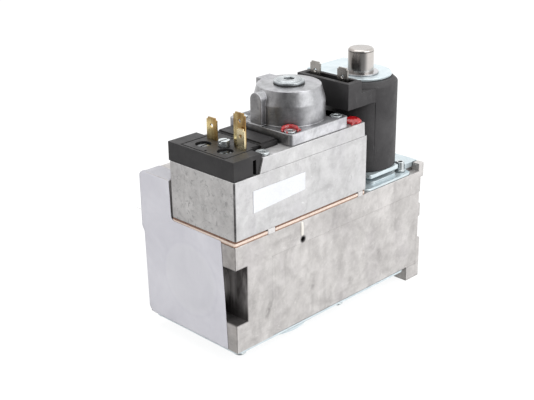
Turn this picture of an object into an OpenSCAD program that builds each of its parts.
// Combination gas control valve for a boiler: cast body, solenoid safety valve,
// servo operator box with pressure regulator, plug-in connector.
// Row origin: centre of the inlet port on the inlet flange face.
// +X points out of the inlet port, +Z up, the outlet port looks along -X.
// Parts are drawn from the lower near corner of the cast body at the outlet end:
// x runs to the inlet, y from the near side to the back, z up. placed() moves them.

/* [Body] */
// length of the cast body over the inlet flange
body_length = 130; // [100:1:180]
// width of the cast body
body_width = 59; // [50:0.5:80]
// height of the cast body up to the operator gasket
body_height = 50.8; // [40:0.2:70]
// height of the port centres over the underside
port_height = 26.5; // [20:0.5:35]
// radius of the inlet port bore
inlet_radius = 10; // [7:0.5:12]
// radius of the outlet port bore
outlet_radius = 9; // [7:0.5:12]
// half spacing of the flange screws across the body
flange_half_y = 23; // [20:0.5:26]
// half spacing of the flange screws up the body
flange_half_z = 19.5; // [16:0.5:22]
// core radius of the tapped flange holes
flange_hole_r = 2.1; // [1.6:0.1:3]

/* [Main valve] */
// main valve axis, along the body
main_x = 38; // [30:0.5:40]
// main valve axis, across the body
main_y = 24.5; // [20:0.5:30]
// radius of the main valve seat opening
main_seat_r = 8.5; // [6:0.5:10]
// height of the main valve seat
main_seat_z = 23; // [20:0.5:26]

/* [Safety valve] */
// safety valve axis, along the body
coil_x = 105.4; // [100:0.5:110]
// safety valve axis, across the body
coil_y = 21.8; // [20:0.2:30]
// outer radius of the coil
coil_r = 17.9; // [15:0.1:22]
// underside of the coil
coil_z0 = 57; // [55:0.1:58]
// top of the coil
coil_z1 = 100.5; // [90:0.1:110]
// outer radius of the core tube
tube_r = 6.2; // [5:0.1:8]
// top of the core tube
tube_z1 = 114; // [105:0.5:125]

/* [Operator] */
// length of the operator box
op_length = 85.4; // [70:0.2:95]
// width of the operator box
op_width = 41; // [36:0.5:50]
// underside of the operator box
op_z0 = 53.3; // [52:0.1:56]
// joint between operator box and cover
op_z1 = 79.9; // [70:0.1:90]
// top of the operator cover
op_z2 = 86.7; // [80:0.1:95]

/* [Regulator] */
// regulator axis, along the body
reg_x = 54.4; // [45:0.2:60]
// regulator axis, across the body
reg_y = 20.5; // [15:0.5:25]
// outer radius of the regulator dome
reg_r = 16.4; // [13:0.1:18]
// top of the regulator dome
reg_z1 = 107.4; // [100:0.1:112]

/* [Hidden] */
$fn = 48;
// how far a through bore runs past each end
overrun = 0.5;

// upright axes [x, y]
main_at = [main_x, main_y];
coil_at = [coil_x, coil_y];
servo_at = [16.5, 20.5];
reg_at = [reg_x, reg_y];
// upright gas ducts: from the valve passage, and from the outlet bore
mid_duct = [70, 20.5];
mid_duct_r = 2;
outlet_duct = [8, 22.5];
outlet_duct_r = 1.5;

// screw places [x, y]
bottom_screw_at = [[5, 3.8], [70, 3.8], [5, body_width - 3.8], [70, body_width - 3.8],
    [113.5, 5.5], [113.5, body_width - 5.5]];
plate_screw_at = [[117.6, 5.3], [117.2, 52.5], [91, 52.5]];
cover_screw_at = [[79.6, 4.2], [79.6, op_width - 4.2]];
sunk_screw_at = [[4.6, 4.6], [4.6, op_width - 4.6]];
op_screw_at = concat(cover_screw_at, sunk_screw_at);
side_screw_at = [20.4, 3.6];
reg_screw_at = [for (y = [reg_y - 15.1, reg_y + 15.1]) for (x = [39.2, 69.2]) [x, y]];
connector_screw_at = [[8.7, 13.9], [8.7, 27.7]];
earth_screw_at = [12.8, 19];
screw_r = 1.5;
screw_head_r = 2.9;
tapped_r = 1.55;
clearance_r = 1.8;
small_hole_r = 1.3;

// body
port_y = body_width / 2;
flange_x0 = body_length - 4;
raised_y0 = 41.2;
raised_z1 = 70.5;
test_x = [58, 100];
test_z = 36;
test_boss_y1 = 60.5;
test_boss_bore_r = 3.5;

// underside plate
gasket_t = 0.4;
bottom_plate_z0 = -1.6;

// main valve levels
main_stem_r = 2;
main_hole_r = main_stem_r + 0.05;
main_disc_z0 = main_seat_z + 1.2;
main_disc_z1 = main_disc_z0 + 1.4;
diaphragm_z0 = -3.3;
diaphragm_z1 = -2.6;

// safety valve levels
safety_stem_r = 2.05;
safety_seat_z = 19;
safety_disc_z0 = 21.6;
safety_disc_z1 = 23;
tube_seal_z0 = 48;
tube_base_z0 = 49.6;
tube_bore_r = tube_r - 0.55;
tube_bore_z1 = tube_z1 - 1.4;
tube_hole_r = tube_r + 0.15;
plate_z1 = body_height + 1.2;
pad_z1 = plate_z1 + 1.2;
leg_z0 = coil_z0 - 2;
bracket_z1 = coil_z1 + 1.3;

// safety coil
coil_bore_r = tube_r + 0.3;
coil_core_r = 7.6;
coil_flange_r = 15.2;
coil_flange_t = 1.4;
bobbin_z0 = 58.6;
bobbin_z1 = 96.6;
block_half_y = 16;

// servo coil
servo_frame_z0 = 61;
servo_z0 = 62.2;
servo_z1 = 77.2;
servo_core_r = 4.1;
servo_tube_r = 4.8;
servo_seat_z = 60;
servo_spring_z0 = 67;
servo_spring_z1 = 71;

// contact blades: rows are [x, y0, y1]
blade_w = 6.3;
blade_t = 0.8;
blade_hole_r = 0.85;
live_blade = [15.1, 26.1, 26.1 + blade_w];
tall_earth_blade = [15.6, 9, 15.9];
short_earth_blade = [14.2, 8, 12.6];
connector_z1 = 88.6;
blade_foot_z = 84.6;

// regulator levels
reg_base_z1 = 92;
reg_screw_z = 90.8;
reg_plate_z0 = 87.45;
reg_plate_z1 = 88.4;
reg_seat_z = 99.4;
adjuster_z0 = 100.3;
reg_bore_r = 6.4;
reg_thread_r = 6.33;

// colours shared by several parts
STEM = [0.72, 0.73, 0.75];
PRESSED_PLATE = [0.75, 0.76, 0.78];
PLATED = [0.8, 0.8, 0.8];
SCREW = [0.78, 0.79, 0.8];
SPRING = [0.7, 0.7, 0.72];
IRON = [0.6, 0.61, 0.63];
HOUSING = [0.74, 0.73, 0.71];
RUBBER = [0.1, 0.1, 0.1];
DIAPHRAGM = [0.12, 0.12, 0.12];
BOBBIN = [0.86, 0.84, 0.78];
COPPER = [0.62, 0.3, 0.14];
BRASS = [0.83, 0.68, 0.33];

// ---------- helpers: "at" is an [x, y] place ----------
module placed() translate([-body_length, -body_width / 2, -port_height]) children();
module box(x0, x1, y0, y1, z0, z1) translate([x0, y0, z0]) cube([x1 - x0, y1 - y0, z1 - z0]);
// a box and its mirror image across the middle of the body
module box_pair(x0, x1, y0, y1, z0, z1) {
    box(x0, x1, y0, y1, z0, z1);
    box(x0, x1, body_width - y1, body_width - y0, z0, z1);
}
module rod(at, r, z0, z1) translate([at.x, at.y, z0]) cylinder(r = r, h = z1 - z0);
module rods(places, r, z0, z1) for (at = places) rod(at, r, z0, z1);
module cone(at, r0, r1, z0, z1) translate([at.x, at.y, z0]) cylinder(r1 = r0, r2 = r1, h = z1 - z0);
module ring(at, outer_r, inner_r, z0, z1) difference() {
    rod(at, outer_r, z0, z1);
    rod(at, inner_r, z0 - overrun, z1 + overrun);
}
module rod_x(y, z, r, x0, x1) translate([x0, y, z]) rotate([0, 90, 0]) cylinder(r = r, h = x1 - x0);
module rod_y(x, z, r, y0, y1) translate([x, y0, z]) rotate([-90, 0, 0]) cylinder(r = r, h = y1 - y0);
// 2D profile in x and z, swept across the body
module sweep_y(y0, y1) translate([0, y1, 0]) rotate([90, 0, 0])
    linear_extrude(height = y1 - y0) children();
// box with rounded upright edges
module rounded_box(x0, x1, y0, y1, z0, z1, r) {
    box(x0 + r, x1 - r, y0, y1, z0, z1);
    box(x0, x1, y0 + r, y1 - r, z0, z1);
    for (x = [x0 + r, x1 - r]) for (y = [y0 + r, y1 - r]) rod([x, y], r, z0, z1);
}
// wire spring between two heights, with one closed turn at each end
module spring(at, r, wire_r, z0, z1, turns) {
    per_turn = 14;
    wire_sides = 8;
    steps = per_turn * (turns + 2);
    closed_rise = 2 * wire_r;
    function rise(turn) =
        turn < 1 ? closed_rise * turn
        : turn > turns + 1 ? z1 - z0 - 2 * wire_r - closed_rise * (turns + 2 - turn)
        : closed_rise + (z1 - z0 - 6 * wire_r) * (turn - 1) / turns;
    // the wire section is slightly squashed in height
    points = [for (i = [0:steps]) for (j = [0:wire_sides - 1])
        let (a = 360 * i / per_turn, b = 360 * j / wire_sides, reach = r + wire_r * cos(b))
        [at.x + reach * cos(a), at.y + reach * sin(a),
            z0 + wire_r + rise(i / per_turn) + wire_r * 0.96 * sin(b)]];
    sides = [for (i = [0:steps - 1]) for (j = [0:wire_sides - 1])
        let (k = (j + 1) % wire_sides, here = i * wire_sides, next = here + wire_sides)
        [here + j, here + k, next + k, next + j]];
    start_cap = [for (j = [wire_sides - 1:-1:0]) j];
    end_cap = [for (j = [0:wire_sides - 1]) steps * wire_sides + j];
    polyhedron(points, concat([start_cap], sides, [end_cap]), convexity = 8);
}
// hex socket screw, head up, with the underside of its head at z
module screw(at, z, r, length, head_r, head_h) difference() {
    union() {
        rod(at, r, z - length, z + 0.1);
        rod(at, head_r, z, z + head_h);
    }
    translate([at.x, at.y, z + head_h * 0.4]) cylinder(r = head_r * 0.5, h = head_h, $fn = 6);
}
module bobbin(at, core_r, flange_r, flange_t, bore_r, z0, z1) difference() {
    union() {
        rod(at, core_r, z0, z1);
        rod(at, flange_r, z0, z0 + flange_t);
        rod(at, flange_r, z1 - flange_t, z1);
    }
    rod(at, bore_r, z0 - 1, z1 + 1);
}
module blade_bar(row, z0, z1) box(row[0], row[0] + blade_t, row[1], row[2], z0, z1);
// contact blade with a narrower tip above its shoulder
module blade(row, z0, shoulder_z, tip_z, inset, lap = 0.2) {
    blade_bar(row, z0, shoulder_z);
    blade_bar([row[0], row[1] + inset, row[2] - inset], shoulder_z - lap, tip_z);
}
// blade of the safety coil on the near (-1) or back (1) side
function coil_blade(side) = let (y = coil_y + side * 8.4) [82.2, y - blade_w / 2, y + blade_w / 2];

// ---------- body ----------
module body_outside() {
    box(0, body_length - 2, 0, body_width, 0, body_height);
    // raised part at the back of the outlet end, with its overhang
    rounded_box(0, 28, raised_y0, body_width, body_height - 1, raised_z1, 1.5);
    box(1, 27, body_width - 1, 61.5, 41.5, 67.4);
    // inlet flange: wall, corner pads, port boss and feet
    box(body_length - 8.5, body_length, 5.6, body_width - 5.6, body_height - 1, 54);
    box(flange_x0, body_length, 0, body_width, 47.5, body_height);
    box_pair(flange_x0, body_length, 0, 3.9, 47.5, 54.9);
    box_pair(flange_x0, body_length, 0, 13, 2, 14);
    box(flange_x0, body_length - 0.8, 0, 4, 26, 33);
    box_pair(flange_x0, body_length, 2.5, 13, 40, 50);
    rod_x(port_y, port_height, 17, body_length - 10, body_length);
    box(body_length - 10.3, body_length, 0.5, 14, -7.6, 2);
    box(body_length - 10.3, body_length, body_width - 14, body_width, -7.6, 2);
    // nipple bosses on the back
    for (x = test_x) rod_y(x, test_z, 6, 50, test_boss_y1);
}
module body_recesses() {
    // shallow panel in the near side
    box(22.4, body_length + 1, -1, 0.5, 0.5, 39.7);
    box(22.4, 118.8, -1, 0.5, -1, 1);
    rod_y(41.8, 41.6, 1, -1, 6);
    // corner pockets at the outlet end, around the port boss
    difference() {
        box_pair(-1, 6.5, -1, 14, 13.6, 40);
        rod_x(port_y, port_height, 18.6, -2, 8);
    }
    // clearance round the coil
    rod(coil_at, coil_r + 1.8, body_height, 60);
}
module body_ports() {
    // outlet port
    rod_x(port_y, port_height, outlet_radius, -1, main_x - 10.6);
    // inlet port, stepped for the strainer
    rod_x(port_y, port_height, inlet_radius, 119, body_length + 1);
    rod_x(port_y, port_height, inlet_radius - 0.5, 118, 119.5);
    rod_x(port_y, port_height, 8.6, 115, 119);
    rod_x(port_y, port_height + 2, 8, 104, 116);
    // flange screws; the outlet ones sit closer together across the body
    for (side_y = [-1, 1]) for (side_z = [-1, 1]) {
        z = port_height + side_z * flange_half_z;
        rod_x(port_y + side_y * (flange_half_y - 5), z, flange_hole_r, -1, 10);
        rod_x(port_y + side_y * flange_half_y, z, flange_hole_r, body_length - 9.5, body_length + 1);
    }
}
module body_chambers() {
    // main valve chamber, with the raised seat left standing
    difference() {
        rod(main_at, 14, 18, body_height + 1);
        rod(main_at, main_seat_r + 2, 17, main_seat_z);
    }
    rod(main_at, main_seat_r, 10, main_seat_z + 1);
    // chamber over the diaphragm
    rod(main_at, 12.5, 4, 15);
    rod(main_at, 21.5, -1, 5);
    rod(main_at, 23.6, -1, 1.2);
    // passage between the two valves
    box(main_x, 106, 17, 31, 5, 15);
    // safety valve chamber and seat
    difference() {
        rod(coil_at, 12, 17.5, body_height + 1);
        rod(coil_at, 9, 17, safety_seat_z);
    }
    rod(coil_at, 13.5, tube_seal_z0, body_height + 1);
    rod(coil_at, 7.5, 10, 20);
    // ducts to the operator
    rod(mid_duct, mid_duct_r, 10, body_height + 1);
    rod(outlet_duct, outlet_duct_r, 28, body_height + 1);
}
module body_small_holes() {
    rods(bottom_screw_at, tapped_r, -1, 4.2);
    rods(plate_screw_at, tapped_r, 44, body_height + 1);
    rods(op_screw_at, tapped_r, 43, body_height + 1);
    // test points
    for (x = test_x) rod_y(x, test_z, test_boss_bore_r, 51, 61);
    rod_y(test_x[0], test_z, 1, 36.5, 52);
    rod_y(test_x[1], test_z, 1, 31, 52);
    rod_x(37, test_z, 1, 30, 58);
}
module main_body() color([0.72, 0.71, 0.69]) placed() difference() {
    body_outside();
    body_recesses();
    body_ports();
    body_chambers();
    body_small_holes();
}
module inlet_strainer() color([0.75, 0.75, 0.74]) placed() difference() {
    rod_x(port_y, port_height, inlet_radius - 0.53, 118, 119);
    // 3 mm grid of holes, kept inside the rim
    for (y = [-6:3:6]) for (z = [-6:3:6])
        if (y * y + z * z < 60) rod_x(port_y + y, port_height + z, 1.1, 117, 120);
}
module bottom_plate() color([0.74, 0.77, 0.8]) placed() difference() {
    // flat plate with a dished pan in two steps
    union() {
        rounded_box(1.2, 118.8, 1, body_width - 1, bottom_plate_z0, -gasket_t, 3);
        rod(main_at, 23.3, -3.3, -gasket_t);
        rod(main_at, 19.4, -5.6, -gasket_t);
    }
    rod(main_at, 22, -2.1, 0);
    rod(main_at, 18.2, -4.4, 0);
    rods(bottom_screw_at, clearance_r, -3, 1);
}
module bottom_gasket() color([0.25, 0.24, 0.23]) placed() difference() {
    rounded_box(1.4, 118.6, 1.2, body_width - 1.2, -gasket_t, 0, 3);
    rod(main_at, 24, -1, 1);
    rods(bottom_screw_at, clearance_r, -1, 1);
}
module bottom_screws() color(SCREW) placed()
    for (at = bottom_screw_at) translate([at.x, at.y, bottom_plate_z0]) rotate([180, 0, 0])
        screw([0, 0], 0, screw_r, 5.2, screw_head_r, 1);

// ---------- main valve ----------
// section as [radius, z]: flat middle, sloping roll, clamped rim
main_diaphragm_section = [[2.2, diaphragm_z0], [15, diaphragm_z0], [16.4, -2.9], [20.2, -0.4],
    [23.5, -0.4], [23.5, 1.1], [22.1, 1.1], [22.1, 0.4], [19.8, 0.4], [15.8, -2.3],
    [14.8, diaphragm_z1], [2.2, diaphragm_z1]];
module main_diaphragm() color(DIAPHRAGM) placed() translate([main_x, main_y, 0])
    rotate_extrude() polygon(main_diaphragm_section);
module diaphragm_plate() color(PRESSED_PLATE) placed()
    ring(main_at, 14.5, main_hole_r, diaphragm_z1, diaphragm_z1 + 1);
module main_valve_stem() color(STEM) placed() {
    rod(main_at, main_stem_r, diaphragm_z0, 27.4);
    rod(main_at, 3.6, diaphragm_z0 - 0.8, diaphragm_z0);
    rod(main_at, 3, main_disc_z1, main_disc_z1 + 1);
}
module main_valve_disc() color(PLATED) placed()
    ring(main_at, 10.6, main_hole_r, main_disc_z0, main_disc_z1);
module main_valve_seal() color(RUBBER) placed()
    ring(main_at, 11, main_hole_r, main_seat_z, main_disc_z0);
module main_valve_spring() color(SPRING) placed() spring(main_at, 6.2, 0.6, main_disc_z1, 56.4, 6);

// ---------- test points ----------
module test_nipples() color([0.83, 0.7, 0.42]) placed() for (x = test_x) difference() {
    union() {
        rod_y(x, test_z, test_boss_bore_r, 52, test_boss_y1);
        rod_y(x, test_z, 5.5, test_boss_y1, 62);
        rod_y(x, test_z, 4.5, 62, 70);
    }
    rod_y(x, test_z, 1, 50, 71);
    rod_y(x, test_z, 2, 63, 71);
}
module test_screws() color([0.76, 0.77, 0.79]) placed() for (x = test_x) difference() {
    union() {
        rod_y(x, test_z, 1.95, 63.2, 69.6);
        rod_y(x, test_z, 0.98, 62, 63.3);
    }
    box(x - 2.5, x + 2.5, 68.6, 70, test_z - 0.4, test_z + 0.4);
}

// ---------- safety valve ----------
module top_plate() color([0.78, 0.82, 0.85]) placed() difference() {
    union() {
        rounded_box(86.2, 121.4, 0.5, 57, body_height, plate_z1, 3.4);
        // pressed pad under the coil bracket
        rounded_box(94, 112.4, 3.4, 50, plate_z1 - 0.4, pad_z1, 2);
        rod(coil_at, 9.5, pad_z1 - 0.4, leg_z0);
        // step up over the inlet flange, cut back round the coil
        difference() {
            union() {
                box(120.2, 121.4, 4.4, 54.6, body_height, 55.2);
                box(120.2, body_length - 0.1, 4.4, 54.6, 54, 55.2);
                box(120.2, body_length - 0.1, 4.4, 5.6, 52.4, 54.2);
            }
            rod(coil_at, coil_r + 0.6, plate_z1, 60);
        }
    }
    rod(coil_at, tube_hole_r, 50, 60);
    rods(plate_screw_at, clearance_r, 50, 60);
}
module top_plate_screws() color([0.77, 0.78, 0.8]) placed() for (at = plate_screw_at) difference() {
    union() {
        rod(at, screw_r, 45, plate_z1 + 0.1);
        rod(at, 2.5, plate_z1, plate_z1 + 1.1);
        rod(at, 2, plate_z1 + 1, plate_z1 + 5.2);
    }
    translate([at.x, at.y, plate_z1 + 3.2]) cylinder(r = 1.2, h = 4, $fn = 6);
}
module core_tube() color(HOUSING) placed() difference() {
    union() {
        rod(coil_at, 13.3, tube_base_z0, body_height);
        rod(coil_at, tube_r, tube_base_z0 + 0.1, tube_z1 - 0.8);
        cone(coil_at, tube_r, tube_r - 0.8, tube_z1 - 0.8, tube_z1);
    }
    rod(coil_at, tube_bore_r, 49, tube_bore_z1);
}
module tube_seal_ring() color(RUBBER) placed() ring(coil_at, 13.4, 12.1, tube_seal_z0, tube_base_z0);
module pole_piece() color(IRON) placed() difference() {
    rod(coil_at, tube_bore_r, 92, tube_bore_z1);
    rod(coil_at, 1.2, 91, 100);
}
module plunger() color([0.63, 0.64, 0.66]) placed() difference() {
    rod(coil_at, 5.57, 54, 89);
    rod(coil_at, safety_stem_r, 53, 62);
    // groove down each side
    for (side = [-1, 1]) {
        x = coil_x + side * 5.6;
        box(x - 0.6, x + 0.6, coil_y - 0.6, coil_y + 0.6, 53, 90);
    }
}
module safety_valve_stem() color(STEM) placed() {
    rod(coil_at, safety_stem_r, 20.6, 62);
    rod(coil_at, 3, safety_disc_z1, safety_disc_z1 + 1);
    rod(coil_at, 3.2, 19.6, 20.6);
}
module safety_valve_disc() color(PLATED) placed()
    ring(coil_at, 9.9, safety_stem_r, safety_disc_z0, safety_disc_z1);
module safety_valve_seal() color(RUBBER) placed()
    ring(coil_at, 10.2, 3.4, safety_seat_z, safety_disc_z0);
module safety_valve_spring() color(SPRING) placed()
    spring(coil_at, 7.2, 0.6, safety_disc_z1, tube_base_z0, 5);

module coil_overmould() color([0.13, 0.13, 0.14]) placed() difference() {
    union() {
        rod(coil_at, coil_r, coil_z0, 98.4);
        cone(coil_at, coil_r, coil_r - 2.4, 98.4, coil_z1);
        // terminal block reaching over the operator
        box(78, 87.4, coil_y - block_half_y, coil_y + block_half_y, 91.8, 104.4);
        box(87, coil_x - 4, coil_y - block_half_y, coil_y + block_half_y, 91.8, 98.3);
    }
    rod(coil_at, coil_bore_r, 50, 110);
    ring(coil_at, coil_flange_r, 6, bobbin_z0, bobbin_z1);
    // trough and slots for the blades
    box(80.4, 85.4, coil_y - 13.4, coil_y + 13.4, 101.6, 106);
    for (side = [-1, 1]) blade_bar(coil_blade(side), 95, 102);
}
module coil_bobbin() color(BOBBIN) placed()
    bobbin(coil_at, coil_core_r, coil_flange_r, coil_flange_t, coil_bore_r, bobbin_z0, bobbin_z1);
module coil_winding() color(COPPER) placed()
    ring(coil_at, 14.6, coil_core_r, bobbin_z0 + coil_flange_t, bobbin_z1 - coil_flange_t);
module coil_tabs() color(PLATED) placed() for (side = [-1, 1]) difference() {
    blade(coil_blade(side), 95, 109.4, 110.2, inset = 0.8, lap = 0.4);
    rod_x(coil_y + side * 8.4, 105.9, blade_hole_r, 81, 84);
}
module coil_bracket() color([0.8, 0.84, 0.87]) placed() difference() {
    union() {
        // upper plate, rounded on the near side
        rod(coil_at + [1.6, 1.6], 15.2, coil_z1, bracket_z1);
        box(coil_x - 11, coil_x + 16, coil_y + 3, 46.6, coil_z1, bracket_z1);
        // back web and lower leg
        box(coil_x - 8.4, coil_x + 11.4, 45.2, 46.6, leg_z0, coil_z1 + 0.2);
        rounded_box(coil_x - 12.8, coil_x + 8.8, 3.4, 45, leg_z0, coil_z0, 1.2);
        box(coil_x - 8.4, coil_x + 11.4, 40, 46.6, leg_z0, coil_z0);
    }
    rod(coil_at, tube_hole_r, 50, 110);
}
module coil_clip() color([0.7, 0.71, 0.73]) placed() difference() {
    union() {
        rod(coil_at, 8.6, bracket_z1, coil_z1 + 2.1);
        box(coil_x - 10.6, coil_x - 6.5, coil_y + 1, coil_y + 4.4, bracket_z1, coil_z1 + 2.1);
    }
    rod(coil_at, tube_r, 100, 110);
    // slanting gap in the ring
    translate([coil_x, coil_y, 100]) rotate([0, 0, -45]) translate([-2.6, 0, 0]) cube([5.2, 12, 10]);
}

// ---------- operator ----------
module operator_gasket() color([0.55, 0.33, 0.22]) placed() difference() {
    box(0.1, 84.6, 0.1, 40.7, body_height, op_z0);
    rod(main_at, 13, 50, 54);
    rods(op_screw_at, clearance_r, 50, 54);
    rod(mid_duct, mid_duct_r, 50, 54);
    rod(outlet_duct, outlet_duct_r, 50, 54);
    // notch in the near edge
    box(19.6, 23.9, -1, 3, 50, 51.6);
}
module operator_housing() color(HOUSING) placed() difference() {
    rounded_box(0.3, op_length, 0, op_width, op_z0, op_z1, 1);
    // hollow, with the screw posts, servo seat and frame supports left standing
    difference() {
        box(3.4, op_length - 3.1, 3.2, op_width - 3.2, 58.2, op_z1 + 1);
        rods(op_screw_at, 4.6, 50, op_z1 + 2);
        rod(servo_at, 4, 50, servo_seat_z);
        rod(side_screw_at, 3.4, 50, op_z1 + 2);
        for (side = [-1, 1]) {
            x = servo_at.x + side * 8.9;
            box(x - 1.5, x + 1.5, servo_at.y - 6, servo_at.y + 6, 50, servo_frame_z0);
        }
    }
    rods(sunk_screw_at, 3.2, op_z1 - 2, op_z1 + 1);
    rod(side_screw_at, small_hole_r, 72, op_z1 + 1);
    rod(main_at, 7.4, 50, 56.4);
    rod(main_at, 1, 50, 60);
    rods(op_screw_at, clearance_r, 50, op_z1 + 2);
    // servo seat bore and channel from the outlet duct
    rod(servo_at, 1.2, 50, 62);
    box(6.5, servo_at.x, 19.5, 24, 50, 55.2);
    rod(mid_duct, mid_duct_r, 50, 60);
}
module operator_cover() color([0.77, 0.76, 0.74]) placed() difference() {
    sweep_y(0, op_width) polygon([[15.1, op_z1], [83.6, op_z1], [83.1, op_z2], [17.2, op_z2]]);
    // room for the part of the connector towards the inlet
    box(10, 34.2, 7.6, 36.2, op_z1 - 1, op_z2 + 1);
    // chamber under the regulator diaphragm, with the bleed seat left standing
    difference() {
        rod(reg_at, 11.5, 83.4, op_z2 + 1);
        rod(reg_at, 2.4, 83, 86.1);
    }
    rod(reg_at, 0.9, op_z1 - 1, op_z2 + 1);
    // groove for the diaphragm rim
    difference() {
        rod(reg_at, 14.9, 85.9, op_z2 + 1);
        rod(reg_at, 13.1, 85, op_z2 + 2);
    }
    rods(cover_screw_at, clearance_r, op_z1 - 1, op_z2 + 1);
    rods(reg_screw_at, small_hole_r, op_z1 + 1, op_z2 + 1);
    rod(side_screw_at, small_hole_r, op_z1 - 1, op_z2 + 1);
}
module operator_screws() color(SCREW) placed() {
    for (at = cover_screw_at) screw(at, op_z2, screw_r, 42, screw_head_r, 1.6);
    for (at = sunk_screw_at) screw(at, op_z1 - 2, screw_r, 34, screw_head_r, 1.6);
    screw(side_screw_at, op_z2, 1.25, 13, screw_head_r, 1.4);
}
module servo_frame() color(IRON) placed() difference() {
    translate(servo_at) box(-10.4, 10.4, -8.6, 8.6, servo_frame_z0, 78.4);
    translate(servo_at) box(-9.2, 9.2, -9, 9, servo_z0, servo_z1);
    rods(connector_screw_at, 1.27, 77, 79);
    rod(servo_at, servo_core_r, 60, 63);
    rod(servo_at, 2.5, 76, 79);
}
module servo_bobbin() color(BOBBIN) placed()
    bobbin(servo_at, servo_tube_r, 9, 1, servo_core_r, servo_z0, servo_z1);
module servo_winding() color(COPPER) placed()
    ring(servo_at, 8.6, servo_tube_r, servo_z0 + 1, servo_z1 - 1);
module servo_core() color(IRON) placed() {
    rod(servo_at, servo_core_r, servo_spring_z1, servo_z1);
    rod(servo_at, 2.5, servo_z1 - 0.1, 78.8);
}
module servo_armature() color([0.65, 0.66, 0.68]) placed() difference() {
    rod(servo_at, 4.02, 61.2, 70);
    rod(servo_at, 2, servo_spring_z0, 71);
}
module servo_valve_pad() color(RUBBER) placed() rod(servo_at, 2.4, servo_seat_z, 61.2);
module servo_spring() color(SPRING) placed()
    spring(servo_at, 1.5, 0.25, servo_spring_z0, servo_spring_z1, 3);

// ---------- connector ----------
module connector_block() color([0.12, 0.12, 0.13]) placed() difference() {
    union() {
        sweep_y(0.6, 41.6) polygon([[0.6, op_z1], [15, op_z1], [17.1, op_z2],
            [17.1, connector_z1], [0.6, connector_z1]]);
        box(12, 34, 7.8, 36, op_z1, connector_z1);
        box(25, 33.6, 9, 35.4, connector_z1 - 0.1, 89.4);
    }
    // hollow for wiring over the servo coil
    box(3, 31, 10, 34, op_z1 - 1, 84.6);
    // panel line
    difference() {
        box(1.6, 24, 6.6, 34.6, 88.2, 89);
        box(2.2, 23.4, 7.2, 34, 88, 89);
    }
    // screw wells
    rods(connector_screw_at, 3.5, 86.4, 90);
    rods(connector_screw_at, small_hole_r, 79, 90);
    rod(earth_screw_at, 1.6, 84, 90);
    // two small pits in the top
    rods([[3.6, 20.7], [21.6, 23.4]], 0.6, 87, 90);
    // notch in the near face, recesses over the sunk screws, notch in the top
    box(11.9, 13.7, -1, 2.4, op_z1 - 1, 86.6);
    for (at = sunk_screw_at)
        box(at.x - 3.4, at.x + 3.4, at.y - 3.4, at.y + 3.4, op_z1 - 1, op_z1 + 0.2);
    box(19, 24, 7, 9.4, 85, 90);
    // slots for the blades and their bridge
    for (row = [live_blade, short_earth_blade, tall_earth_blade]) blade_bar(row, 84, 90);
    box(14.2, 16.4, 9, 12.6, 84, 86);
}
module connector_screws() color(PLATED) placed() for (at = connector_screw_at) difference() {
    union() {
        rod(at, 1.25, 77.4, 86.5);
        rod(at, 2.7, 86.4, 87.8);
    }
    box(5.5, 12, at.y - 0.35, at.y + 0.35, 87.2, 88);
}
module earth_screw() color(PLATED) placed() difference() {
    union() {
        rod(earth_screw_at, 1.55, 84.7, 89);
        rod(earth_screw_at, 2.5, connector_z1, 91.4);
    }
    box(10, 16, earth_screw_at.y - 0.4, earth_screw_at.y + 0.4, 90.4, 92);
}
module live_terminal() color(BRASS) placed() difference() {
    blade(live_blade, blade_foot_z, 97.6, 98.5, inset = 0.9);
    rod_x(live_blade[1] + blade_w / 2, 94.9, blade_hole_r, 14, 17);
}
module earth_terminal() color(BRASS) placed() difference() {
    union() {
        blade(tall_earth_blade, blade_foot_z, 103.2, 104.2, inset = 1);
        blade(short_earth_blade, blade_foot_z, 97.2, 98.1, inset = 0.8);
        // bridge between the blades
        box(14.2, 16.4, 9, 12.6, 85.2, 86);
    }
    rod_x(12.4, 100.4, blade_hole_r, 14, 19);
    rod_x(10.3, 94.6, 0.7, 13, 15.3);
}

// ---------- regulator ----------
module regulator_housing() color([0.7, 0.7, 0.7]) placed() difference() {
    union() {
        rounded_box(35, 72.8, 0.8, 40, op_z2, reg_base_z1, 2.2);
        rod(reg_at, reg_r, reg_base_z1 - 0.1, 100.7);
        cone(reg_at, reg_r, 14.5, 100.7, reg_z1);
        // boss on the outlet side of the dome, and pad on its back
        box(35.2, 46, 19.2, 26, 90, 103);
        rod_x(22.6, 103, 3.4, 35.2, 46);
        box(51, 60, 30, 38.2, reg_base_z1 - 0.1, reg_z1);
    }
    rod(reg_at, 12.4, op_z2 - 1, 98.6);
    rod(reg_at, 15, op_z2 - 1, op_z2 + 0.9);
    rod(reg_at, reg_bore_r, 98, reg_z1 + 1);
    rods(reg_screw_at, 1.5, op_z2 - 1, 93);
    rods(reg_screw_at, 3.1, reg_screw_z, 93);
    rod_y(55.5, 96, 0.9, 30, 40);
}
module regulator_screws() color(SCREW) placed()
    for (at = reg_screw_at) screw(at, reg_screw_z, 1.25, 8.6, 2.8, 1.5);
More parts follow.
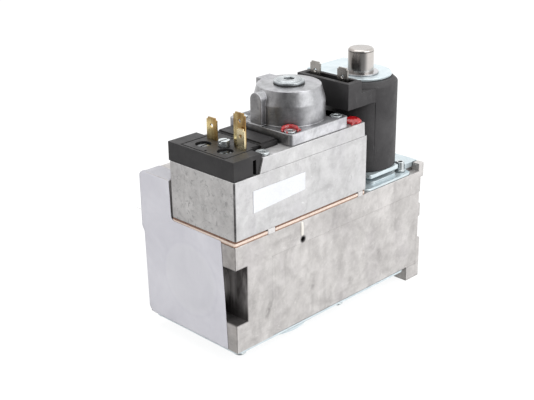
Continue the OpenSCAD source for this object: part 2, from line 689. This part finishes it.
// section as [radius, z]: underside outwards, clamped rim, upper side inwards
regulator_diaphragm_section = [[0, 87.0], [7, 87.0], [8, 87.3], [10.6, 87.3], [11.4, 86.72],
    [13.1, 86.72], [13.1, 85.95], [14.8, 85.95], [14.8, 87.55], [13.1, 87.55], [13.1, 87.1],
    [11.8, 87.1], [11, 87.75], [7.8, 87.75], [6.9, reg_plate_z0], [0, reg_plate_z0]];
module regulator_diaphragm() color(DIAPHRAGM) placed() translate([reg_x, reg_y, 0])
    rotate_extrude() polygon(regulator_diaphragm_section);
module regulator_plate() color(PRESSED_PLATE) placed() {
    rod(reg_at, 6.8, reg_plate_z0, reg_plate_z1);
    rod(reg_at, 2.6, reg_plate_z1 - 0.1, 90.2);
}
module regulator_spring() color(SPRING) placed()
    spring(reg_at, 4.4, 0.5, reg_plate_z1, reg_seat_z, 4);
module spring_seat() color(IRON) placed() difference() {
    union() {
        rod(reg_at, 6, reg_seat_z, adjuster_z0);
        rod(reg_at, 3.2, 97.6, reg_seat_z + 0.1);
    }
    rod(reg_at, 1, 97, 101);
}
module adjusting_screw() color([0.9, 0.88, 0.82]) placed() difference() {
    rod(reg_at, reg_thread_r, adjuster_z0, 103.8);
    box(reg_x - 4.6, reg_x + 4.6, reg_y - 0.6, reg_y + 0.6, 102.6, 105);
}
module cap_screw() color([0.82, 0.83, 0.85]) placed() difference() {
    union() {
        rod(reg_at, reg_thread_r, 105.9, reg_z1 + 0.5);
        rod(reg_at, 7.1, reg_z1 + 0.4, reg_z1 + 1.1);
        cone(reg_at, 5.8, 5.4, reg_z1 + 1.1, reg_z1 + 2.2);
    }
    box(reg_x - 3.4, reg_x + 3.4, reg_y - 0.6, reg_y + 0.6, reg_z1 + 1.5, reg_z1 + 4);
}
module cap_seal() color(RUBBER) placed() ring(reg_at, 7.6, 6.36, reg_z1, reg_z1 + 0.4);
// rings of lacquer round one regulator screw and one cover screw
module tamper_lacquer() color([0.72, 0.05, 0.05]) placed() {
    ring(reg_screw_at[0], 3.9, 2.85, reg_base_z1, reg_base_z1 + 0.5);
    ring(cover_screw_at[0], 4.1, 2.95, op_z2, op_z2 + 0.9);
}

// ---------- film and label ----------
// outline on the outlet end as [-y, z]
sticker_outline = [[-57.6, 0.2], [-5.8, 0.2], [-8.6, 51.7], [-39.6, 51.9], [-40.8, 53],
    [-41.5, 70.8], [-60.2, 70.8], [-61.9, 69], [-61.9, 42.8], [-60.4, 41], [-59.7, 2.4]];
module port_sticker() color([0.77, 0.77, 0.82]) placed() {
    rotate([90, 0, -90]) linear_extrude(height = 0.3) polygon(sticker_outline);
    // flap over the top of the raised part
    box(-0.3, 9, 41.8, 58.6, raised_z1, raised_z1 + 0.3);
}
module blank_label() color([0.95, 0.95, 0.95]) placed()
    sweep_y(-0.2, 0) polygon([[11, 63.4], [43, 65.4], [43, 73.5], [11, 73.5]]);

main_body();
bottom_plate();
bottom_gasket();
bottom_screws();
main_diaphragm();
diaphragm_plate();
main_valve_stem();
main_valve_disc();
main_valve_seal();
main_valve_spring();
inlet_strainer();
test_nipples();
test_screws();
top_plate();
top_plate_screws();
core_tube();
tube_seal_ring();
pole_piece();
plunger();
safety_valve_stem();
safety_valve_disc();
safety_valve_seal();
safety_valve_spring();
coil_overmould();
coil_bobbin();
coil_winding();
coil_tabs();
coil_bracket();
coil_clip();
operator_gasket();
operator_housing();
operator_cover();
operator_screws();
servo_frame();
servo_bobbin();
servo_winding();
servo_core();
servo_armature();
servo_valve_pad();
servo_spring();
connector_block();
connector_screws();
earth_screw();
live_terminal();
earth_terminal();
regulator_housing();
regulator_screws();
regulator_diaphragm();
regulator_plate();
regulator_spring();
spring_seat();
adjusting_screw();
cap_screw();
cap_seal();
tamper_lacquer();
port_sticker();
blank_label();
